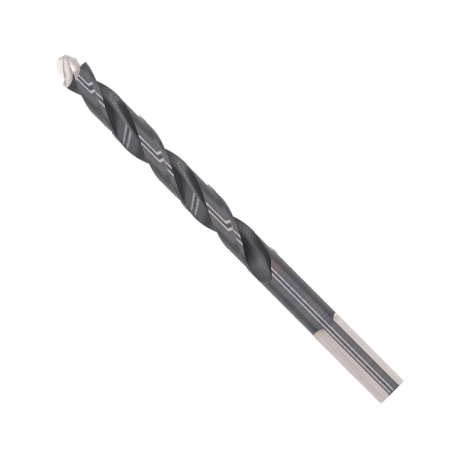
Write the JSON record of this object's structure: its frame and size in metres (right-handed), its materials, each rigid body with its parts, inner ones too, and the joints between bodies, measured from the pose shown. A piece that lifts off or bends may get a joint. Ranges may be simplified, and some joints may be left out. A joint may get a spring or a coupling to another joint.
{
  "type": "twist drill bit",
  "caption": "Straight-shank twist drill bit with helical flutes, a stepped self-centring point and flats on the shank for a jaw chuck.",
  "frame": {"origin": "centre of the flat shank end", "axes": "+Z along the drill's axis, from the shank end to the point"},
  "size_m": [0.009, 0.009, 0.125],
  "materials": {
    "steel": "black-oxide steel, bare where the point and the shank flats are ground"
  },
  "bodies": {
    "root": {"drill_bit": "steel"}
  },
  "joints": []
}
